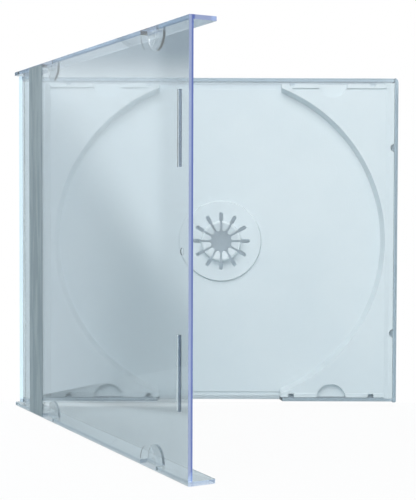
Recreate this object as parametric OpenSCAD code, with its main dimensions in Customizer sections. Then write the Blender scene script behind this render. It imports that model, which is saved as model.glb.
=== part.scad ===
// Disc case standing open on its lower edges: clear lid, clear base and a white disc tray.
// Every piece is drawn lying flat and closed: x runs from the hinge end to the free end,
// y along the hinge, and z out of the back. The case is then opened and stood up.

/* [Case] */
// Thickness of the closed case
case_t = 10.2; // [9.8:0.1:11]
// Wall and panel thickness of the clear mouldings
wall = 1.2; // [1:0.1:1.4]
// Length of the lid from its hinge end to its free end
lid_len = 142; // [138:0.5:150]
// Height of the lid over its two side flanges
lid_h = 124.4; // [123.8:0.1:128]
// Angle by which the lid stands open
lid_open = 61.8; // [0:0.1:180]

/* [Lid] */
// Depth of the side flanges, from the lid's outer face
flange_depth = 8.2; // [7.8:0.1:8.6]
// Distance from the hinge end to the lid's panel
panel_start = 10.5; // [10.4:0.1:12]
// Rounding of the ears at the outer face
ear_r = 0.4; // [0.4:0.1:2]
// Rounding of the ears at the inner edge
ear_inner_r = 2.2; // [0.4:0.1:2.5]
// Rounding of the lid's corners at the free end
free_r = 0.5; // [0.2:0.1:1]
// Space under the lid's panel for the booklet, down to the tabs
booklet_gap = 2.2; // [1.6:0.1:2.2]
// Radius of the half-moon tabs
tab_r = 5; // [4:0.1:5.4]
// Thickness of the half-moon tabs
tab_t = 0.8; // [0.6:0.1:0.9]
// Distance by which a flange's window is longer than its tab at each end
window_over = 0.2; // [0.1:0.05:0.5]
// Distance of the tabs from the hub, along the case
tab_offset = 41.2; // [38:0.1:44]
// Length of the two booklet stops near the free end
stop_len = 20.8; // [10:0.1:24]
// Distance from the middle of the lid to the near end of each stop
stop_offset = 22.6; // [15:0.1:24]
// Width of the booklet stops
stop_w = 1; // [0.6:0.1:1.4]
// Height of the booklet stops
stop_z = 0.9; // [0.5:0.1:1.2]
// Distance from the lid's free end to the booklet stops
stop_inset = 7; // [6:0.1:8]
// Rounding of the lid's thin panel edges
panel_r = 0.2; // [0.1:0.05:0.3]
// Depth of the mould marks on the lid's panel
mark_depth = 0.2; // [0.1:0.05:0.4]
// Distance between those marks and the flanges
mark_gap = 0.4; // [0.2:0.1:1]
// Radius of the round gate mark
gate_r = 1; // [0.6:0.1:1.5]
// Distance from the lid's free end to the gate mark
gate_inset = 4.2; // [3:0.1:6]

/* [Hinge] */
// Distance of the hinge axis from the hinge end
pin_x = 3.7; // [3.5:0.1:3.9]
// Radius of the two hinge pegs
pin_r = 1.5; // [1.2:0.05:1.7]
// Running clearance round a peg
pin_clear = 0.05; // [0.02:0.01:0.1]
// Radius of the boss that carries a peg
boss_r = 2.8; // [2.2:0.1:3]
// Height of that boss
boss_t = 0.35; // [0.2:0.05:0.5]
// Chamfer on the tip of a peg
peg_chamfer = 0.3; // [0.1:0.05:0.5]
// Distance by which a peg stays short of the cheek's inner face
pin_short = 0.1; // [0:0.05:0.3]

/* [Base] */
// Gap between the lid's flanges and the base's side walls
side_gap = 0.7; // [0.6:0.05:0.9]
// Distance by which the base is shorter than the lid
free_end_gap = 2; // [1.8:0.1:3]
// Height of the side walls
side_top = 5.8; // [5:0.1:5.8]
// Height of the end wall at the free end
end_top = 7.8; // [7:0.1:8.4]
// Height of the spine wall at the hinge end
spine_top = 9.4; // [9:0.1:9.6]
// Length of the finger gap in the lower side wall
finger_gap = 44.8; // [30:0.1:50]
// Length of the slope at each end of the finger gap
gap_slope = 0.8; // [0.6:0.1:3]
// Rounding of the base's upper corner at the free end
upper_r = 1.7; // [0.6:0.1:2]
// Rounding of the base's lower corner at the free end
lower_r = 0.5; // [0.2:0.1:1]
// Width of the snap lugs at the side walls
lug_w = 2.4; // [1.6:0.1:3]
// Width of the snap lugs at their tips
lug_tip = 1.4; // [0.8:0.1:1.6]
// Reach of the snap lugs over the tray
lug_reach = 1.7; // [1.4:0.1:1.9]
// Thickness of the snap lugs
lug_t = 0.8; // [0.5:0.1:1]
// Distance of the two middle pairs of snap lugs from the hub
lug_near = 26.3; // [24:0.1:30]
// Distance of the first pair of snap lugs from the hinge end
lug_first = 18.6; // [16:0.1:22]
// Distance of the last pair of snap lugs from the base's free end
lug_last = 9.4; // [8:0.1:11]
// Radius of the half-round lugs on the end wall
end_lug_r = 1.3; // [1:0.1:1.5]
// Distance of the end lugs from the middle
end_lug_offset = 34.5; // [25:0.1:45]

/* [Tray] */
// Thickness of the moulded tray sheet
sheet = 1; // [0.8:0.1:1.2]
// Gap between the tray and the base's end walls, and round the lugs
tray_gap = 0.2; // [0.1:0.05:0.3]
// Mean gap between the tray and the base's side walls
side_play = 0.85; // [0.6:0.05:1]
// Distance by which the tray lies below the middle of the standing case
tray_drop = 0.3; // [0:0.05:0.3]
// Height of the disc well's floor
floor_z = 3.5; // [3:0.1:3.7]
// Height of the lands round the disc well
land_z = 7; // [6.6:0.1:7.2]
// Height of the bar beside the hinge
bar_z = 8.8; // [8.2:0.1:8.8]
// Gap between the swing of the lid's panel and the bar
bar_gap = 0.25; // [0.2:0.05:0.5]
// Length of the bar's slope down to the land
bar_slope = 1.7; // [1:0.1:2]
// Width of the rib at the free end
rib_w = 1.6; // [1.2:0.1:2]
// Height of that rib
rib_z = 7.6; // [7.4:0.1:8]
// Width of the slope from the land up to the rib
rib_slope = 1.4; // [0.8:0.1:2]
// Distance by which the rib is longer than the tray at each end
rib_over = 0.4; // [0.1:0.05:0.4]
// Width of the raised rims along the sides
rim_w = 1.5; // [1:0.1:1.8]
// Height of those rims above the land
rim_t = 0.4; // [0.2:0.05:0.6]
// Clearance round the tabs, where the lid closes into the tray
recess_clear = 0.5; // [0.3:0.05:0.8]
// Distance of the middle of those recesses from the tray's edge
recess_out = 0.6; // [0:0.1:0.8]
// Depth of the floor's lower edge strip
lip_t = 0.3; // [0.1:0.05:0.5]

/* [Disc] */
// Diameter of the disc
disc_d = 120; // [118:0.5:120]
// Diameter of the disc's hole
disc_hole = 15; // [14:0.1:16]
// Play of the disc's hole round the hub
hub_play = 0.05; // [0.02:0.01:0.1]
// Play of the disc's edge where the well is widest
well_play = 1; // [0.8:0.1:1.2]
// Run of the well's sloping wall
well_run = 1.2; // [0.8:0.1:1.5]

/* [Hub] */
// Radius of the plateau on which the disc lies
plateau_r = 14.85; // [13:0.05:16]
// Height of that plateau
plateau_z = 4.3; // [4.2:0.1:4.6]
// Run of the plateau's edge
plateau_run = 0.3; // [0.1:0.05:0.8]
// Height of the fingers above the plateau
finger_rise = 2.4; // [2:0.1:2.8]
// Height of the fingers' upright wall above the plateau
finger_wall = 1.9; // [1.5:0.1:2]
// Thickness of the fingers
finger_t = 0.9; // [0.7:0.05:1]
// Fall of the fingers towards their tips
finger_fall = 0.7; // [0.4:0.1:1]
// Number of fingers
fingers = 12; // [8:1:14]
// Width of the slots between the fingers
slot_w = 0.8; // [0.5:0.05:0.9]
// Width of the slots outside the ring of fingers
slot_wide = 1.45; // [1:0.05:1.8]
// Distance from the ring of fingers to the wide part of the slots
slot_foot = 0.15; // [0.1:0.05:0.5]
// Distance from the hub's centre to the slots' outer ends
slot_reach = 10.8; // [10:0.1:12]
// Radius on which the rounded finger tips are centred
tip_circle = 4.65; // [4.4:0.05:5]

/* [Strip] */
// Width of the plain strip of tape on the lid
strip_w = 13; // [8:0.5:20]
// Distance of the strip from the start of the lid's panel
strip_inset = 6.2; // [1:0.1:10]
// Thickness of the tape
strip_t = 0.15; // [0.1:0.05:0.3]
// Distance from the strip's ends to the lid's edges
strip_end = 0.3; // [0.2:0.1:1]

/* [Hidden] */
$fn = 96;
arc_steps = 6;
eps = 0.01;
beyond = 20;

// Lid
panel_z = case_t - wall;
flange_z = case_t - flange_depth;
lid_half = lid_h / 2;
flange_y = lid_half - wall;
tab_top = panel_z - booklet_gap;
stop_x = lid_len - stop_inset - stop_w;

// Base
base_len = lid_len - free_end_gap;
base_half = flange_y - side_gap;
cheek_y = base_half - wall;
pin_z = case_t / 2;
bore_r = pin_r + pin_clear;
pin_len = flange_y - cheek_y - pin_short;

// Tray
tray_x0 = wall + tray_gap;
tray_x1 = base_len - wall - tray_gap;
tray_y = cheek_y - side_play;
rib_y = tray_y + rib_over;
rib_x = tray_x1 - rib_w - rib_slope;
swing_r = norm([panel_start - pin_x, panel_z - pin_z]);
bar_x = pin_x + sqrt(pow(swing_r - bar_gap, 2) - pow(bar_z - pin_z, 2));
recess_r = tab_r + recess_clear;
recess_y = tray_y + recess_out;
recess_z = tab_top - tab_t - recess_clear;
lug_z = side_top - lug_t;
well_top_r = disc_d / 2 + well_play;
well_floor_r = well_top_r - well_run;
hub_x = rib_x - well_top_r;
lug_places = [lug_first, hub_x - lug_near, hub_x + lug_near, base_len - lug_last];
rim_runs = [[bar_x + bar_slope, hub_x - lug_near], [hub_x + lug_near, rib_x]];

// Hub
ring_r = disc_hole / 2 - hub_play;
finger_top = plateau_z + finger_rise;
wall_top = plateau_z + finger_wall;
shoulder = finger_rise - finger_wall;
tip_r = PI * tip_circle / fingers - slot_w / 2;

// The open lid's corners, as circles [x, z, radius], give the size of the standing case
lid_corners = [
    [ear_r, case_t - ear_r, ear_r],
    [ear_inner_r, flange_z + ear_inner_r, ear_inner_r],
    [lid_len - free_r, case_t - free_r, free_r],
    [lid_len - free_r, flange_z + free_r, free_r]
];
function turned_x(p) = pin_x + (p[0] - pin_x) * cos(lid_open) - (p[1] - pin_z) * sin(lid_open);
function turned_z(p) = pin_z + (p[0] - pin_x) * sin(lid_open) + (p[1] - pin_z) * cos(lid_open);
x_low = min([0, for (p = lid_corners) turned_x(p) - p[2]]);
x_high = max([base_len, for (p = lid_corners) turned_x(p) + p[2]]);
z_low = min([0, for (p = lid_corners) turned_z(p) - p[2]]);
z_high = max([spine_top, for (p = lid_corners) turned_z(p) + p[2]]);

// Stands a piece that is drawn flat on the lower edge of the case
module stand() {
    translate([-(x_low + x_high) / 2, (z_low + z_high) / 2, lid_half])
        rotate([90, 0, 0])
            children();
}

// Turns the closed lid about its pegs
module open_lid() {
    translate([pin_x, 0, pin_z])
        rotate([0, -lid_open, 0])
            translate([-pin_x, 0, -pin_z])
                children();
}

// Both sides of the case, which are mirror images
module both_sides() {
    children();
    mirror([0, 1, 0])
        children();
}

// Extrudes a profile in x and z towards +y, from y0
module along_y(y0, len) {
    translate([0, y0 + len, 0])
        rotate([90, 0, 0])
            linear_extrude(len)
                children();
}

// Quarter of a circle about [x, z], starting at an angle
function quarter(x, z, r, start) = [
    for (i = [0 : arc_steps])
        [x + r * cos(start + 90 * i / arc_steps), z + r * sin(start + 90 * i / arc_steps)]
];

// A rectangle whose corners are rounded one by one: lower left, lower right, upper right, upper left
module soft_rect(x0, z0, x1, z1, r) {
    polygon(concat(
        quarter(x0 + r[0], z0 + r[0], r[0], 180),
        quarter(x1 - r[1], z0 + r[1], r[1], 270),
        quarter(x1 - r[2], z1 - r[2], r[2], 0),
        quarter(x0 + r[3], z1 - r[3], r[3], 90)
    ));
}

module flange() {
    difference() {
        along_y(flange_y, wall)
            soft_rect(0, flange_z, lid_len, case_t, [ear_inner_r, free_r, free_r, ear_r]);
        for (side = [-1, 1])
            translate([hub_x + side * tab_offset - tab_r - window_over, flange_y - eps, tab_top])
                cube([2 * (tab_r + window_over), wall + 2 * eps, booklet_gap]);
    }
}

// Half-moon tab that holds the booklet's edge
module tab(x) {
    intersection() {
        translate([x, flange_y + eps, tab_top - tab_t])
            cylinder(r = tab_r, h = tab_t);
        translate([x - tab_r, flange_y - 2 * tab_r, tab_top - tab_t])
            cube([2 * tab_r, 2 * tab_r + wall / 2, tab_t]);
    }
}

// Boss and peg on an ear, pointing into the base's cheek
module peg() {
    translate([pin_x, flange_y + eps, pin_z])
        rotate([90, 0, 0]) {
            cylinder(r = boss_r, h = boss_t + eps);
            cylinder(r = pin_r, h = pin_len - peg_chamfer + eps);
            translate([0, 0, pin_len - peg_chamfer + eps])
                cylinder(r1 = pin_r, r2 = pin_r - peg_chamfer, h = peg_chamfer);
        }
}

module lid() {
    color([0.75, 0.83, 0.88, 0.45])
        stand()
            open_lid()
                difference() {
                    union() {
                        along_y(-flange_y - wall / 2, 2 * flange_y + wall)
                            soft_rect(panel_start, panel_z, lid_len, case_t, [panel_r, panel_r, free_r, panel_r]);
                        both_sides() {
                            flange();
                            tab(hub_x - tab_offset);
                            tab(hub_x + tab_offset);
                            peg();
                            translate([stop_x, stop_offset, panel_z - stop_z])
                                cube([stop_w, stop_len, stop_z + eps]);
                        }
                    }
                    both_sides()
                        for (side = [-1, 1])
                            intersection() {
                                translate([hub_x + side * tab_offset, flange_y, panel_z - eps])
                                    cylinder(r = tab_r, h = mark_depth + eps);
                                cube([lid_len, flange_y - mark_gap, case_t]);
                            }
                    translate([lid_len - gate_inset, 0, case_t - mark_depth])
                        cylinder(r = gate_r, h = wall);
                }
}

// Round-topped cheek that takes a hinge peg
module cheek_profile() {
    translate([pin_x, pin_z])
        circle(r = pin_x);
    square([2 * pin_x, pin_z]);
}

// Snap lug on a side wall in plan, narrower at its tip, or the pocket for it when grown
module lug_plan(grow) {
    polygon([
        [-lug_w / 2 - grow, cheek_y + eps + 2 * grow],
        [-lug_tip / 2 - grow, cheek_y - lug_reach - grow],
        [lug_tip / 2 + grow, cheek_y - lug_reach - grow],
        [lug_w / 2 + grow, cheek_y + eps + 2 * grow]
    ]);
}

module end_lug(y) {
    intersection() {
        translate([base_len - wall, y, recess_z + tray_gap])
            cylinder(r = end_lug_r, h = end_top - recess_z - 2 * tray_gap);
        translate([base_len - wall - end_lug_r - eps, y - 2 * end_lug_r, 0])
            cube([end_lug_r + wall / 2, 4 * end_lug_r, case_t]);
    }
}

// Outline of the base in plan, also used to trim its walls
module base_plan() {
    soft_rect(0, -base_half, base_len, base_half, [lower_r, lower_r, upper_r, lower_r]);
}

module base_walls() {
    translate([0, -base_half, 0])
        cube([wall, 2 * base_half, spine_top]);
    translate([base_len - wall, -base_half, 0])
        cube([wall, 2 * base_half, end_top]);
    translate([0, cheek_y, 0])
        cube([base_len, wall, side_top]);
    difference() {
        translate([0, -base_half, 0])
            cube([base_len, wall, side_top]);
        along_y(-base_half - eps, wall + 2 * eps)
            polygon([
                [hub_x - finger_gap / 2 - gap_slope, side_top + eps],
                [hub_x - finger_gap / 2, wall],
                [hub_x + finger_gap / 2, wall],
                [hub_x + finger_gap / 2 + gap_slope, side_top + eps]
            ]);
    }
    both_sides()
        along_y(cheek_y, wall)
            cheek_profile();
}

module base() {
    color([0.8, 0.87, 0.9, 0.45])
        stand()
            difference() {
                union() {
                    intersection() {
                        union() {
                            translate([0, -base_half, 0])
                                cube([base_len, 2 * base_half, wall]);
                            base_walls();
                        }
                        linear_extrude(case_t)
                            base_plan();
                    }
                    both_sides() {
                        for (x = lug_places)
                            translate([x, 0, lug_z])
                                linear_extrude(lug_t)
                                    lug_plan(0);
                        end_lug(end_lug_offset);
                    }
                }
                both_sides()
                    translate([pin_x, base_half + eps, pin_z])
                        rotate([90, 0, 0])
                            cylinder(r = bore_r, h = wall + 2 * eps);
            }
}

// The disc well as a solid, grown by the sheet's thickness for the hollow below
module well(grow) {
    translate([hub_x, 0, 0])
        rotate_extrude()
            polygon([
                [0, floor_z - grow],
                [well_floor_r + grow, floor_z - grow],
                [well_top_r + grow, land_z],
                [well_top_r + grow, land_z + beyond],
                [0, land_z + beyond]
            ]);
    translate([hub_x - finger_gap / 2 - grow, -tray_y - beyond, floor_z - grow])
        cube([finger_gap + 2 * grow, 2 * (tray_y + beyond), beyond]);
}

// Recesses in the lands for the lid's tabs
module recesses(grow) {
    both_sides()
        for (side = [-1, 1])
            translate([hub_x + side * tab_offset, recess_y, recess_z - grow])
                cylinder(r = recess_r + grow, h = beyond);
}

// Pockets for the base's lugs, which stay where the base has them
module pockets(grow) {
    translate([0, tray_drop, 0])
        both_sides() {
            for (x = lug_places)
                translate([x, 0, lug_z - tray_gap - grow])
                    linear_extrude(beyond)
                        lug_plan(tray_gap + grow);
            translate([base_len - wall, end_lug_offset, recess_z - grow])
                cylinder(r = end_lug_r + tray_gap + grow, h = beyond);
        }
}

// Side view of the tray, without its wells
module tray_profile(grow) {
    polygon([
        [tray_x0 + grow, wall],
        [tray_x0 + grow, bar_z - grow],
        [bar_x - grow / 2, bar_z - grow],
        [bar_x + bar_slope - grow / 2, land_z - grow],
        [rib_x + grow, land_z - grow],
        [tray_x1 - rib_w + grow / 2, rib_z - grow],
        [tray_x1 - grow, rib_z - grow],
        [tray_x1 - grow, wall]
    ]);
}

// The tray without its wells, longer along its end rib, or its open underside when shrunk
module tray_block(grow) {
    along_y(-tray_y + grow, 2 * (tray_y - grow))
        tray_profile(grow);
    intersection() {
        along_y(-rib_y + grow, 2 * (rib_y - grow))
            tray_profile(grow);
        translate([rib_x + grow, -base_half, 0])
            cube([rib_w + rib_slope, 2 * base_half, case_t]);
    }
}

module tray_form() {
    difference() {
        union() {
            tray_block(0);
            both_sides()
                for (run = rim_runs)
                    translate([run[0], tray_y - rim_w, land_z - eps])
                        cube([run[1] - run[0], rim_w, rim_t + eps]);
        }
        well(0);
        recesses(0);
        pockets(0);
        both_sides()
            translate([hub_x - finger_gap / 2, tray_y - rim_w, floor_z - lip_t])
                cube([finger_gap, rim_w + eps, beyond]);
    }
    translate([hub_x, 0, floor_z - eps])
        cylinder(r1 = plateau_r + plateau_run, r2 = plateau_r, h = plateau_z - floor_z + eps);
}

// Open underside of the tray
module tray_hollow() {
    difference() {
        tray_block(sheet);
        well(sheet);
        recesses(sheet);
        pockets(sheet);
    }
    translate([hub_x, 0, floor_z - sheet - eps])
        cylinder(r = plateau_r - sheet, h = plateau_z - floor_z + eps);
    translate([tray_x0 + sheet, -tray_y + sheet, wall - eps])
        cube([tray_x1 - tray_x0 - 2 * sheet, 2 * (tray_y - sheet), 2 * eps]);
}

// Slots between the fingers, in plan
module slots_plan() {
    for (i = [0 : fingers - 1])
        rotate(i * 360 / fingers) {
            translate([0, -slot_w / 2])
                square([slot_reach - slot_wide, slot_w]);
            translate([ring_r + slot_foot, -slot_wide / 2])
                square([slot_reach - slot_wide / 2 - ring_r - slot_foot, slot_wide]);
            translate([slot_reach - slot_wide / 2, 0])
                circle(d = slot_wide);
        }
}

// Fingers in plan, with their rounded tips
module fingers_plan() {
    difference() {
        circle(r = ring_r);
        circle(r = tip_circle);
        slots_plan();
    }
    for (i = [0 : fingers - 1])
        rotate((i + 0.5) * 360 / fingers)
            translate([tip_circle, 0])
                circle(r = tip_r);
}

// Section of the ring of fingers: upright wall, rounded shoulder and falling top
module finger_section() {
    polygon([
        [ring_r, plateau_z - sheet],
        [ring_r, wall_top],
        [ring_r - shoulder + shoulder * cos(45), wall_top + shoulder * sin(45)],
        [ring_r - shoulder, finger_top],
        [ring_r - 2 * shoulder, finger_top],
        [tip_circle - tip_r, finger_top - finger_fall],
        [tip_circle - tip_r, finger_top - finger_fall - finger_t],
        [ring_r - 2 * shoulder, finger_top - finger_t],
        [ring_r - finger_t, wall_top - finger_t / 2],
        [ring_r - finger_t, plateau_z - sheet]
    ]);
}

module hub_fingers() {
    intersection() {
        rotate_extrude()
            finger_section();
        linear_extrude(case_t)
            fingers_plan();
    }
}

module tray() {
    color([0.9, 0.94, 0.95])
        stand()
            translate([0, -tray_drop, 0]) {
                difference() {
                    tray_form();
                    tray_hollow();
                    translate([hub_x, 0, wall])
                        linear_extrude(case_t) {
                            circle(r = ring_r - finger_t / 2);
                            slots_plan();
                        }
                }
                translate([hub_x, 0, 0])
                    hub_fingers();
            }
}

module label_strip() {
    color([0.63, 0.69, 0.73])
        stand()
            open_lid()
                translate([panel_start + strip_inset, strip_end - lid_half, case_t])
                    cube([strip_w, lid_h - 2 * strip_end, strip_t]);
}

lid();
base();
tray();
label_strip();
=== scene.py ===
import math

import bpy
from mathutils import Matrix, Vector


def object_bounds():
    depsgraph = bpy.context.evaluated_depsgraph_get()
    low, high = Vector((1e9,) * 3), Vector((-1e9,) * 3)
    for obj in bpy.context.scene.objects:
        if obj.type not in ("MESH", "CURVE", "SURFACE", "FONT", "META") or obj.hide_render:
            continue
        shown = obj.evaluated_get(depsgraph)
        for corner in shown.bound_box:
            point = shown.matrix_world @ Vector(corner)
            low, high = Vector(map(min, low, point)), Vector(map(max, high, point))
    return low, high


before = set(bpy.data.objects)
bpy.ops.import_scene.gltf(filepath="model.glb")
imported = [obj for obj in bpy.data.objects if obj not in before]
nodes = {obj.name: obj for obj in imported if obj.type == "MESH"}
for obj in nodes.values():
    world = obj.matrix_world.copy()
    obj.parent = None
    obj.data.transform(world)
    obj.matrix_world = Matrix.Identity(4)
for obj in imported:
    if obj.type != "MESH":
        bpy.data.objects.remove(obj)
cadLow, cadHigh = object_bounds()
print("frame loaded")


def deselectAll():
    if bpy.context.object and bpy.context.object.mode != "OBJECT":
        bpy.ops.object.mode_set(mode="OBJECT")
    bpy.ops.object.select_all(action="DESELECT")


# camera, fitted to the photograph
view = {
    "place": (0.0001, -0.3583, 0.0727),
    "turn": (88.06, -0.17, -0.108),
    "lens": 80.5,
    "sensor": 36.0,
    "nearest": 0.01,
}


def addCamera():
    turn = [math.radians(angle) for angle in view["turn"]]
    bpy.ops.object.camera_add(location=view["place"], rotation=turn)
    camera = bpy.context.object
    camera.name = "caseCamera"
    camera.data.sensor_width = view["sensor"]
    camera.data.lens = view["lens"]
    camera.data.clip_start = view["nearest"]
    bpy.context.scene.camera = camera


addCamera()
print("camera placed")


# small helpers for node trees
def newMaterial(name):
    material = bpy.data.materials.new(name)
    material.use_nodes = True
    material.node_tree.nodes.clear()
    return material, material.node_tree


def newGroup(name, inputs, outputs):
    tree = bpy.data.node_groups.new(name, "ShaderNodeTree")
    for label, value in inputs.items():
        socket = tree.interface.new_socket(name=label, in_out="INPUT", socket_type="NodeSocketFloat")
        socket.default_value = value
    for label in outputs:
        tree.interface.new_socket(name=label, in_out="OUTPUT", socket_type="NodeSocketFloat")
    return tree, addNode(tree, "NodeGroupInput", -900), addNode(tree, "NodeGroupOutput", 900)


def addNode(tree, kind, x=0, y=0, **values):
    node = tree.nodes.new(kind)
    node.location = (x, y)
    for label, value in values.items():
        node.inputs[label.replace("_", " ")].default_value = value
    return node


def placeGroup(tree, group, x, y, **values):
    node = addNode(tree, "ShaderNodeGroup", x, y)
    node.node_tree = group
    for label, value in values.items():
        node.inputs[label].default_value = value
    return node


def plug(tree, value, socket):
    if isinstance(value, bpy.types.NodeSocket):
        tree.links.new(value, socket)
    else:
        socket.default_value = value


def calc(tree, operation, first, second, x=0, y=0, clamp=False):
    node = addNode(tree, "ShaderNodeMath", x, y)
    node.operation = operation
    node.use_clamp = clamp
    plug(tree, first, node.inputs[0])
    plug(tree, second, node.inputs[1])
    return node.outputs[0]


def span(tree, value, low, high, toLow, toHigh, x=0, y=0):
    node = addNode(tree, "ShaderNodeMapRange", x, y)
    node.interpolation_type = "SMOOTHSTEP"
    for socket, item in zip(node.inputs, (value, low, high, toLow, toHigh)):
        plug(tree, item, socket)
    return node.outputs[0]


def blend(tree, share, first, second, x=0, y=0):
    node = addNode(tree, "ShaderNodeMix", x, y)
    node.data_type = "RGBA"
    plug(tree, share, node.inputs["Factor"])
    plug(tree, first, node.inputs[6])
    plug(tree, second, node.inputs[7])
    return node.outputs[2]


def alongDot(tree, value, along, x=0, y=0):
    node = addNode(tree, "ShaderNodeVectorMath", x, y)
    node.operation = "DOT_PRODUCT"
    node.inputs[1].default_value = along
    tree.links.new(value, node.inputs[0])
    return node.outputs["Value"]


def noise(tree, place, scale, detail, x=0, y=0, stretch=None):
    if stretch:
        mapping = addNode(tree, "ShaderNodeMapping", x - 200, y)
        mapping.inputs["Scale"].default_value = stretch
        tree.links.new(place, mapping.inputs["Vector"])
        place = mapping.outputs[0]
    node = addNode(tree, "ShaderNodeTexNoise", x, y)
    tree.links.new(place, node.inputs["Vector"])
    plug(tree, scale, node.inputs["Scale"])
    node.inputs["Detail"].default_value = detail
    return node.outputs["Fac"]


# wear on edges: where the rounded normal leaves the flat one
edgeLook = {"reach": 0.00025, "samples": 6, "start": 0.02, "full": 0.25}


def buildEdgeWear():
    tree, given, out = newGroup("edgeWear", {"Scale": 900.0}, ["Wear"])
    link = tree.links.new
    rounded = addNode(tree, "ShaderNodeBevel", -600, 200, Radius=edgeLook["reach"])
    rounded.samples = edgeLook["samples"]
    surface = addNode(tree, "ShaderNodeNewGeometry", -600, -100)
    dot = addNode(tree, "ShaderNodeVectorMath", -400, 100)
    dot.operation = "DOT_PRODUCT"
    link(rounded.outputs[0], dot.inputs[0])
    link(surface.outputs["Normal"], dot.inputs[1])
    leave = calc(tree, "SUBTRACT", 1.0, dot.outputs["Value"], -200, 100)
    edge = span(tree, leave, edgeLook["start"], edgeLook["full"], 0.0, 1.0, 0, 100)
    place = addNode(tree, "ShaderNodeTexCoord", -600, -400)
    patch = noise(tree, place.outputs["Object"], given.outputs["Scale"], 3, -200, -300)
    broken = span(tree, patch, 0.35, 0.65, 0.35, 1.0, 0, -300)
    link(calc(tree, "MULTIPLY", edge, broken, 300, 0), out.inputs["Wear"])
    return tree


# moulded surface: fine grain, slow variation and hairline scratches
surfaceLook = {"grain": 5200.0, "slow": 38.0, "hair": 260.0, "hairStretch": (0.15, 1.0, 1.0)}


def buildMouldSurface():
    tree, given, out = newGroup("mouldSurface", {"Grain": 1.0, "Scratch": 1.0}, ["Height", "Slow", "Hair"])
    link = tree.links.new
    place = addNode(tree, "ShaderNodeTexCoord", -800, 0).outputs["Object"]
    grain = noise(tree, place, surfaceLook["grain"], 2, -500, 300)
    slow = noise(tree, place, surfaceLook["slow"], 3, -500, 0)
    first = noise(tree, place, surfaceLook["hair"], 4, -500, -300, surfaceLook["hairStretch"])
    second = noise(tree, place, surfaceLook["hair"], 4, -500, -600, surfaceLook["hairStretch"][::-1])
    lines = [calc(tree, "ABSOLUTE", calc(tree, "SUBTRACT", value, 0.5, -300, -300), 0.0, -150, -300)
             for value in (first, second)]
    hair = span(tree, calc(tree, "MINIMUM", lines[0], lines[1], 0, -400), 0.0, 0.012, 1.0, 0.0, 150, -400)
    grainPart = calc(tree, "MULTIPLY", grain, given.outputs["Grain"], 200, 300)
    hairPart = calc(tree, "MULTIPLY", hair, given.outputs["Scratch"], 350, -300)
    link(calc(tree, "SUBTRACT", grainPart, hairPart, 550, 100), out.inputs["Height"])
    link(slow, out.inputs["Slow"])
    link(hairPart, out.inputs["Hair"])
    return tree


edgeWear = buildEdgeWear()
mouldSurface = buildMouldSurface()


# clear polystyrene of the lid and the base, with a painted glow on end faces and painted shade on side faces and
# flanges
clearLook = {
    "lid": {
        "tint": (0.93, 0.94, 0.945, 1), "worn": (0.97, 0.98, 0.99, 1),
        "glow": (0.11, 0.16, 0.44, 1), "outerPaintedGlow": (0.31, 0.37, 0.58, 1),
        "skin": (-0.8813, -0.4726, 0.0), "core": 0.0333, "fade": (0.0002, 0.0007), "along": (0.4726, -0.8813, 0.0), "from": 0.0540,
        "side": (0.26, 0.32, 0.42, 1), "rim": (0.69, 0.73, 0.85, 1), "low": 0.25, "flange": (0.0608, 0.0612),
    },
    "base": {
        "tint": (0.93, 0.94, 0.95, 1), "worn": (0.97, 0.98, 0.99, 1),
        "glow": (0.30, 0.38, 0.43, 1), "outerPaintedGlow": (0.30, 0.38, 0.43, 1),
        "skin": (0.0, 1.0, 0.0), "core": 0.0640, "fade": (0.0002, 0.0007), "along": (0.0, -1.0, 0.0), "from": -0.0562,
        "side": (0.90, 0.92, 0.94, 1), "rim": (0.62, 0.66, 0.72, 1), "low": 1.0, "flange": (0.0588, 0.0592),
    },
    "ior": 1.59,
    "roughness": (0.0, 0.012),
    "middle": 0.0622,
    "foot": 0.45,
    "absorb": (0.30, 0.52, 0.66, 1),
    "density": 75.0,
    "bump": 0.000004,
}


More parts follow.
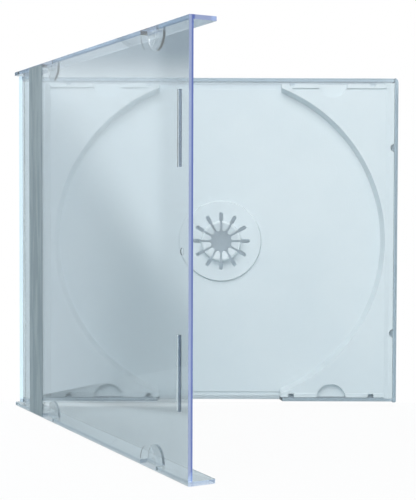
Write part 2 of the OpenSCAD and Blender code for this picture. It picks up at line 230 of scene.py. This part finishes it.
def clearPlastic(name, look):
    material, tree = newMaterial(name)
    link = tree.links.new
    out = addNode(tree, "ShaderNodeOutputMaterial", 1200)
    surface = placeGroup(tree, mouldSurface, -600, -200, Grain=0.2, Scratch=0.6)
    wear = placeGroup(tree, edgeWear, -600, 100)
    glass = addNode(tree, "ShaderNodeBsdfPrincipled", 600, 100, IOR=clearLook["ior"])
    glass.inputs["Transmission Weight"].default_value = 1.0
    marks = calc(tree, "MULTIPLY", surface.outputs["Hair"], 0.25, -450, -100)
    worn = calc(tree, "MAXIMUM", calc(tree, "MULTIPLY", wear.outputs["Wear"], 0.5, -450, 100), marks, -300, 100)
    low, high = clearLook["roughness"]
    link(span(tree, surface.outputs["Slow"], 0.3, 0.7, low, high, 0, -100), glass.inputs["Roughness"])
    bump = addNode(tree, "ShaderNodeBump", 300, -300, Distance=clearLook["bump"], Strength=0.3)
    link(surface.outputs["Height"], bump.inputs["Height"])
    link(bump.outputs[0], glass.inputs["Normal"])
    # painted glow: faces turned towards the far end of the part emit a blue colour (the lid's free edge, the base's
    # front edges), standing in for light piped through the plastic; weaker at the lower flange
    facing = addNode(tree, "ShaderNodeTexCoord", -900, 500)
    turned = alongDot(tree, facing.outputs["Normal"], look["along"], -600, 500)
    reach = alongDot(tree, facing.outputs["Object"], look["along"], -600, 700)
    far = span(tree, reach, look["from"], look["from"] + 0.0008, 0.0, 1.0, -300, 700)
    end = calc(tree, "MULTIPLY", span(tree, turned, 0.02, 0.25, 0.0, 1.0, -300, 500), far, -150, 600)
    depth = alongDot(tree, facing.outputs["Object"], look["skin"], -600, 1500)
    off = calc(tree, "ABSOLUTE", calc(tree, "SUBTRACT", depth, look["core"], -450, 1500), 0.0, -300, 1500)
    outside = span(tree, off, look["fade"][0], look["fade"][1], 0.0, 1.0, -150, 1500)
    glow = blend(tree, outside, look["glow"], look["outerPaintedGlow"], 0, 700)
    # painted shade: faces turned along the part's length, short of its far end, take the darker side colour (on the
    # lid, its hinge end and stop faces)
    across = calc(tree, "ABSOLUTE", turned, 0.0, -300, 900)
    side = calc(tree, "MULTIPLY", span(tree, across, 0.8, 0.95, 0.0, 1.0, -150, 900),
                calc(tree, "SUBTRACT", 1.0, far, -150, 1100), 0, 900)
    # the top and bottom flanges and walls take the bluish rim colour: partly the thick plastic's own tint, partly
    # painted shade; the lid's lower flange gets only a quarter of it
    parts = addNode(tree, "ShaderNodeSeparateXYZ", -600, 1200)
    link(facing.outputs["Object"], parts.inputs[0])
    height = calc(tree, "SUBTRACT", parts.outputs["Z"], clearLook["middle"], -400, 1200)
    inner, outer = look["flange"]
    upper = span(tree, height, inner, outer, 0.0, 1.0, -150, 1200)
    lower = span(tree, height, -outer, -inner, look["low"], 0.0, -150, 1400)
    rim = calc(tree, "ADD", upper, lower, 0, 1300)
    foot = span(tree, height, -outer, -inner, clearLook["foot"], 1.0, -150, 1650)
    end = calc(tree, "MULTIPLY", end, foot, 0, 600)
    link(blend(tree, end, (0, 0, 0, 1), glow, 150, 500), glass.inputs["Emission Color"])
    colour = blend(tree, worn, look["tint"], look["worn"], 0, 200)
    colour = blend(tree, rim, colour, look["rim"], 150, 250)
    link(blend(tree, side, colour, look["side"], 300, 300), glass.inputs["Base Color"])
    glass.inputs["Emission Strength"].default_value = 1.0
    through = addNode(tree, "ShaderNodeBsdfTransparent", 600, -400)
    through.inputs["Color"].default_value = look["tint"]
    path = addNode(tree, "ShaderNodeLightPath", 600, 500)
    mix = addNode(tree, "ShaderNodeMixShader", 900)
    link(path.outputs["Is Shadow Ray"], mix.inputs[0])
    link(glass.outputs[0], mix.inputs[1])
    link(through.outputs[0], mix.inputs[2])
    link(mix.outputs[0], out.inputs["Surface"])
    absorb = addNode(tree, "ShaderNodeVolumeAbsorption", 900, -300)
    absorb.inputs["Color"].default_value = clearLook["absorb"]
    absorb.inputs["Density"].default_value = clearLook["density"]
    link(absorb.outputs[0], out.inputs["Volume"])
    return material


# white moulded tray
trayLook = {
    "colour": (0.735, 0.81, 0.84, 1),
    "dull": (0.705, 0.785, 0.82, 1),
    "worn": (0.84, 0.88, 0.90, 1),
    "roughness": (0.30, 0.42),
    "bump": 0.00004,
    "edge": 0.00015,
}


def trayPlastic():
    material, tree = newMaterial("trayWhite")
    link = tree.links.new
    out = addNode(tree, "ShaderNodeOutputMaterial", 1200)
    body = addNode(tree, "ShaderNodeBsdfPrincipled", 800)
    surface = placeGroup(tree, mouldSurface, -600, -200, Grain=0.8, Scratch=0.35)
    wear = placeGroup(tree, edgeWear, -600, 200)
    plain = span(tree, surface.outputs["Slow"], 0.3, 0.7, 0.0, 1.0, -300, -100)
    colour = blend(tree, plain, trayLook["dull"], trayLook["colour"], 0, 100)
    worn = calc(tree, "MULTIPLY", wear.outputs["Wear"], 0.6, -300, 200)
    link(blend(tree, worn, colour, trayLook["worn"], 200, 200), body.inputs["Base Color"])
    low, high = trayLook["roughness"]
    link(span(tree, surface.outputs["Slow"], 0.3, 0.7, high, low, 0, -200), body.inputs["Roughness"])
    rounded = addNode(tree, "ShaderNodeBevel", 200, -500, Radius=trayLook["edge"])
    rounded.samples = edgeLook["samples"]
    bump = addNode(tree, "ShaderNodeBump", 500, -300, Distance=trayLook["bump"], Strength=0.5)
    link(surface.outputs["Height"], bump.inputs["Height"])
    link(rounded.outputs[0], bump.inputs["Normal"])
    link(bump.outputs[0], body.inputs["Normal"])
    link(body.outputs[0], out.inputs["Surface"])
    return material


# plain tape on the lid
tapeLook = {
    "colour": (0.275, 0.335, 0.36, 1),
    "dark": (0.23, 0.285, 0.31, 1),
    "fibre": 420.0,
    "stretch": (1.0, 1.0, 0.12),
    "roughness": (0.42, 0.62),
    "bump": 0.00003,
}


def tapeMatt():
    material, tree = newMaterial("tapeGrey")
    link = tree.links.new
    out = addNode(tree, "ShaderNodeOutputMaterial", 1000)
    body = addNode(tree, "ShaderNodeBsdfPrincipled", 700)
    place = addNode(tree, "ShaderNodeTexCoord", -700).outputs["Object"]
    fibre = noise(tree, place, tapeLook["fibre"], 5, -400, 200, tapeLook["stretch"])
    fleck = noise(tree, place, tapeLook["fibre"] * 8, 2, -400, -200)
    mixed = calc(tree, "ADD", calc(tree, "MULTIPLY", fibre, 0.7, -150, 200), calc(tree, "MULTIPLY", fleck, 0.3, -150, -200), 0, 100)
    tone = span(tree, mixed, 0.38, 0.62, 0.0, 1.0, 150, 100)
    link(blend(tree, tone, tapeLook["dark"], tapeLook["colour"], 400, 200), body.inputs["Base Color"])
    low, high = tapeLook["roughness"]
    link(span(tree, tone, 0.0, 1.0, high, low, 400, -50), body.inputs["Roughness"])
    bump = addNode(tree, "ShaderNodeBump", 400, -300, Distance=tapeLook["bump"], Strength=0.5)
    link(mixed, bump.inputs["Height"])
    link(bump.outputs[0], body.inputs["Normal"])
    link(body.outputs[0], out.inputs["Surface"])
    return material


def dress(name, material):
    node = nodes[name]
    node.data.materials.clear()
    node.data.materials.append(material)


dress("lid", clearPlastic("lidClear", clearLook["lid"]))
dress("base", clearPlastic("baseClear", clearLook["base"]))
dress("tray", trayPlastic())
dress("label_strip", tapeMatt())
print("materials done")


# floor and backdrop
stageLook = {
    "floorSize": 6.0,
    "wallSize": (3.0, 1.6),
    "wallGap": 0.003,
    "pale": (0.80, 0.86, 0.88, 1),
    "high": (0.23, 0.30, 0.36, 1),
    "rise": (0.118, 0.135),
    "glow": 0.95,
    # shares of painted light on the backdrop behind the base's walls
    "behind": {"left": -0.066, "right": 0.0665, "low": 0.0045, "open": 0.05, "rim": 0.28, "spine": 0.75},
    "bounce": (0.62, 0.68, 0.70, 1),
    "mirrorDepth": 0.5,
    "underLight": {"lid": (0.0236, 0.0345), "base": (0.0582, 0.0650), "open": 0.12, "covered": 0.46,
             "tone": (0.94, 1.0, 1.01, 1)},
    # painted reflection fields beside the case and on the floor
    "mirrorPaint": {
        "edge": (-0.094, -0.084), "slope": (-0.6395, 0.7686), "offset": 0.1543, "soft": (-0.022, 0.010),
        "side": (-0.180, -0.166), "sideShare": 0.55, "top": 0.45, "fade": (-0.165, -0.096),
        "reach": (-0.20, -0.08), "floor": (0.28, 0.31, 0.32, 1),
        "dark": (0.11, 0.13, 0.14, 1), "near": (0.92, 1.02, 1.08, 1), "light": (1.04, 1.12, 1.15, 1),
    },
}


# 1 for rays that a clear face has mirrored, straight or by way of its far side
def mirrored(tree, path):
    clear = calc(tree, "MAXIMUM", path.outputs["Is Glossy Ray"], path.outputs["Is Transmission Ray"], 0, -2100)
    turned = calc(tree, "GREATER_THAN", path.outputs["Glossy Depth"], stageLook["mirrorDepth"], 0, -2250)
    return calc(tree, "MULTIPLY", clear, turned, 150, -2100)


# painted reflection: light and dark fields emitted beside the case, seen only in rays the lid has mirrored
def addPaintedReflection(tree, path, matt):
    link = tree.links.new
    look = stageLook["mirrorPaint"]
    place = addNode(tree, "ShaderNodeTexCoord", -900, -500)
    parts = addNode(tree, "ShaderNodeSeparateXYZ", -700, -500)
    link(place.outputs["Object"], parts.inputs[0])
    across, height = parts.outputs["X"], parts.outputs["Z"]
    first = calc(tree, "MULTIPLY", across, look["slope"][0], -500, -400)
    second = calc(tree, "MULTIPLY", height, look["slope"][1], -500, -600)
    level = calc(tree, "SUBTRACT", calc(tree, "ADD", first, second, -300, -500), look["offset"], -150, -500)
    lit = span(tree, level, look["soft"][0], look["soft"][1], 0.0, 1.0, 0, -500)
    side = span(tree, across, look["side"][0], look["side"][1], look["sideShare"], 1.0, 0, -700)
    fade = span(tree, across, look["fade"][0], look["fade"][1], 0.0, 1.0, 0, -800)
    dark = blend(tree, fade, look["dark"], look["near"], 150, -800)
    tone = blend(tree, calc(tree, "MULTIPLY", lit, side, 150, -600), dark, look["light"], 300, -600)
    glow = addNode(tree, "ShaderNodeEmission", 500, -600)
    link(tone, glow.inputs["Color"])
    seen = mirrored(tree, path)
    near = span(tree, across, look["edge"][0], look["edge"][1], 1.0, 0.0, 0, -1000)
    low = calc(tree, "LESS_THAN", height, look["top"], 0, -1100)
    share = calc(tree, "MULTIPLY", seen, calc(tree, "MULTIPLY", near, low, 150, -1000), 300, -900)
    mix = addNode(tree, "ShaderNodeMixShader", 700, -500)
    link(share, mix.inputs[0])
    link(matt, mix.inputs[1])
    link(glow.outputs[0], mix.inputs[2])
    return mix.outputs[0]


# the floor carries a painted dark reflection beside the case for the lid's mirrored rays, and painted light under the
# mouldings that lifts their contact shade as seen through the clear parts
def addFloorPaint(tree, path, matt):
    link = tree.links.new
    look = stageLook["mirrorPaint"]
    place = addNode(tree, "ShaderNodeTexCoord", -900, -500).outputs["Object"]
    parts = addNode(tree, "ShaderNodeSeparateXYZ", -700, -500)
    link(place, parts.inputs[0])
    # painted reflection: a dark emission beside the case, seen only in mirrored rays
    near = span(tree, parts.outputs["X"], look["edge"][0], look["edge"][1], 1.0, 0.0, 0, -600)
    behind = span(tree, parts.outputs["Y"], look["reach"][0], look["reach"][1], 0.0, 1.0, 0, -800)
    seen = mirrored(tree, path)
    share = calc(tree, "MULTIPLY", seen, calc(tree, "MULTIPLY", near, behind, 150, -700), 300, -800)
    glow = addNode(tree, "ShaderNodeEmission", 500, -600)
    glow.inputs["Color"].default_value = look["floor"]
    mix = addNode(tree, "ShaderNodeMixShader", 700, -500)
    link(share, mix.inputs[0])
    link(matt, mix.inputs[1])
    link(glow.outputs[0], mix.inputs[2])
    # painted light: under the lid's and base's footprints the floor emits near-white to rays through the clear parts,
    # lifting their contact shade; a smaller share elsewhere
    depth = alongDot(tree, place, clearLook["lid"]["skin"], -500, -1200)
    underLight = stageLook["underLight"]
    inLid = calc(tree, "MULTIPLY", calc(tree, "GREATER_THAN", depth, underLight["lid"][0], -300, -1200),
                 calc(tree, "LESS_THAN", depth, underLight["lid"][1], -300, -1350), -150, -1200)
    inBase = calc(tree, "MULTIPLY", calc(tree, "GREATER_THAN", parts.outputs["Y"], underLight["base"][0], -300, -1500),
                  calc(tree, "LESS_THAN", parts.outputs["Y"], underLight["base"][1], -300, -1650), -150, -1500)
    under = calc(tree, "MAXIMUM", inLid, inBase, 0, -1350)
    pale = span(tree, under, 0.0, 1.0, underLight["open"], underLight["covered"], 150, -1350)
    pale = calc(tree, "MULTIPLY", pale, path.outputs["Is Transmission Ray"], 300, -1350)
    white = addNode(tree, "ShaderNodeEmission", 700, -900)
    white.inputs["Color"].default_value = underLight["tone"]
    both = addNode(tree, "ShaderNodeMixShader", 900, -600)
    link(calc(tree, "MULTIPLY", pale, calc(tree, "SUBTRACT", 1.0, near, 300, -1500), 500, -1350), both.inputs[0])
    link(mix.outputs[0], both.inputs[1])
    link(white.outputs[0], both.inputs[2])
    return both.outputs[0]


# painted light on the backdrop behind the base's walls, seen only by rays through the clear parts, so that the walls
# show paler
def addPaintedWallLight(tree, path, parts, matt):
    look = stageLook["behind"]
    across, height = parts.outputs["X"], parts.outputs["Z"]
    right = calc(tree, "GREATER_THAN", across, look["right"], -500, -1450)
    low = calc(tree, "LESS_THAN", height, look["low"], -500, -1900)
    pale = span(tree, calc(tree, "MAXIMUM", right, low, -150, -1600), 0.0, 1.0, look["open"], look["rim"], 0, -1400)
    left = calc(tree, "LESS_THAN", across, look["left"], -500, -1300)
    pale = calc(tree, "MAXIMUM", pale, calc(tree, "MULTIPLY", left, look["spine"], -300, -1300), 150, -1400)
    white = addNode(tree, "ShaderNodeEmission", 300, -1200)
    white.inputs["Color"].default_value = stageLook["underLight"]["tone"]
    mix = addNode(tree, "ShaderNodeMixShader", 500, -1200)
    tree.links.new(calc(tree, "MULTIPLY", pale, path.outputs["Is Transmission Ray"], 300, -1400), mix.inputs[0])
    tree.links.new(matt, mix.inputs[1])
    tree.links.new(white.outputs[0], mix.inputs[2])
    return mix.outputs[0]


def paleSurface(name, oneSided):
    material, tree = newMaterial(name)
    link = tree.links.new
    out = addNode(tree, "ShaderNodeOutputMaterial", 900)
    matt = addNode(tree, "ShaderNodeBsdfDiffuse")
    matt.inputs["Color"].default_value = stageLook["bounce"]
    white = addNode(tree, "ShaderNodeEmission", 0, -200)
    path = addNode(tree, "ShaderNodeLightPath", 0, 400)
    strength = 1.0 if oneSided else stageLook["glow"]
    share = calc(tree, "MULTIPLY", path.outputs["Is Camera Ray"], strength, 200, 300)
    mix = addNode(tree, "ShaderNodeMixShader", 300)
    link(share, mix.inputs[0])
    body = matt.outputs[0]
    if oneSided:
        place = addNode(tree, "ShaderNodeTexCoord", -900)
        parts = addNode(tree, "ShaderNodeSeparateXYZ", -700)
        link(place.outputs["Object"], parts.inputs[0])
        # painted dark field: the backdrop turns dark above the case's top, seen in the clear parts' reflections and
        # through them
        rise = span(tree, parts.outputs["Z"], stageLook["rise"][0], stageLook["rise"][1], 0.0, 1.0, -400, 0)
        link(blend(tree, rise, stageLook["pale"], stageLook["high"], -200, 0), matt.inputs["Color"])
        body = addPaintedReflection(tree, path, addPaintedWallLight(tree, path, parts, body))
    else:
        body = addFloorPaint(tree, path, body)
    link(body, mix.inputs[1])
    link(white.outputs[0], mix.inputs[2])
    if not oneSided:
        link(mix.outputs[0], out.inputs["Surface"])
        return material
    clear = addNode(tree, "ShaderNodeBsdfTransparent", 300, -200)
    side = addNode(tree, "ShaderNodeNewGeometry", 0, 600)
    hidden = calc(tree, "MAXIMUM", side.outputs["Backfacing"], path.outputs["Is Shadow Ray"], 300, 400)
    second = addNode(tree, "ShaderNodeMixShader", 600)
    link(hidden, second.inputs[0])
    link(mix.outputs[0], second.inputs[1])
    link(clear.outputs[0], second.inputs[2])
    link(second.outputs[0], out.inputs["Surface"])
    return material


def addStage():
    deselectAll()
    bpy.ops.mesh.primitive_plane_add(size=stageLook["floorSize"], location=(0, 0, cadLow.z))
    floor = bpy.context.object
    floor.name = "floor"
    floor.data.materials.append(paleSurface("floorPale", False))
    wide, tall = stageLook["wallSize"]
    place = (0, cadHigh.y + stageLook["wallGap"], tall / 2)
    bpy.ops.mesh.primitive_plane_add(size=1, location=place, rotation=(math.pi / 2, 0, 0))
    wall = bpy.context.object
    wall.name = "backdrop"
    wall.scale = (wide, tall, 1)
    bpy.ops.object.transform_apply(location=True, rotation=True, scale=True)
    wall.data.materials.append(paleSurface("wallPale", True))


# soft studio light
lampLook = {
    "keyLight": {"place": (-0.10, -0.34, 0.48), "size": (0.60, 0.36), "power": 2.4},
    "fillLight": {"place": (0.20, -0.70, 0.30), "size": (0.6, 0.6), "power": 0.8},
    "backLight": {"place": (-0.30, 0.90, 0.60), "size": (0.8, 0.6), "power": 7.0},
    "aim": (0.0, 0.03, 0.06),
}


def addLight(name):
    look = lampLook[name]
    bpy.ops.object.light_add(type="AREA", location=look["place"])
    lamp = bpy.context.object
    lamp.name = name
    lamp.data.shape = "RECTANGLE"
    lamp.data.size, lamp.data.size_y = look["size"]
    lamp.data.energy = look["power"]
    aim = Vector(lampLook["aim"]) - Vector(look["place"])
    lamp.rotation_euler = aim.to_track_quat("-Z", "Y").to_euler()


# a room that is paler above than below and darker in front
roomLook = {
    "above": (0.88, 0.92, 0.94, 1),
    "below": (0.40, 0.44, 0.47, 1),
    "front": (0.44, 0.48, 0.52, 1),
    "strength": 0.50,
}


def addWorld():
    world = bpy.data.worlds.new("softRoom")
    bpy.context.scene.world = world
    world.use_nodes = True
    tree = world.node_tree
    tree.nodes.clear()
    link = tree.links.new
    out = addNode(tree, "ShaderNodeOutputWorld", 900)
    way = addNode(tree, "ShaderNodeTexCoord", -700)
    parts = addNode(tree, "ShaderNodeSeparateXYZ", -500)
    link(way.outputs["Generated"], parts.inputs[0])
    height = span(tree, parts.outputs["Z"], -0.5, 0.8, 0.0, 1.0, -300, 200)
    front = span(tree, parts.outputs["Y"], -1.0, -0.2, 0.6, 0.0, -300, -200)
    tone = blend(tree, height, roomLook["below"], roomLook["above"], 0, 200)
    tone = blend(tree, front, tone, roomLook["front"], 200, 0)
    room = addNode(tree, "ShaderNodeBackground", 400)
    link(tone, room.inputs["Color"])
    room.inputs["Strength"].default_value = roomLook["strength"]
    white = addNode(tree, "ShaderNodeBackground", 400, -200)
    path = addNode(tree, "ShaderNodeLightPath", 400, 400)
    mix = addNode(tree, "ShaderNodeMixShader", 650)
    link(path.outputs["Is Camera Ray"], mix.inputs[0])
    link(room.outputs[0], mix.inputs[1])
    link(white.outputs[0], mix.inputs[2])
    link(mix.outputs[0], out.inputs["Surface"])


addStage()
addWorld()
for lampName in ("keyLight", "fillLight", "backLight"):
    addLight(lampName)
bpy.context.scene.view_settings.view_transform = "Standard"
print("stage and light done")
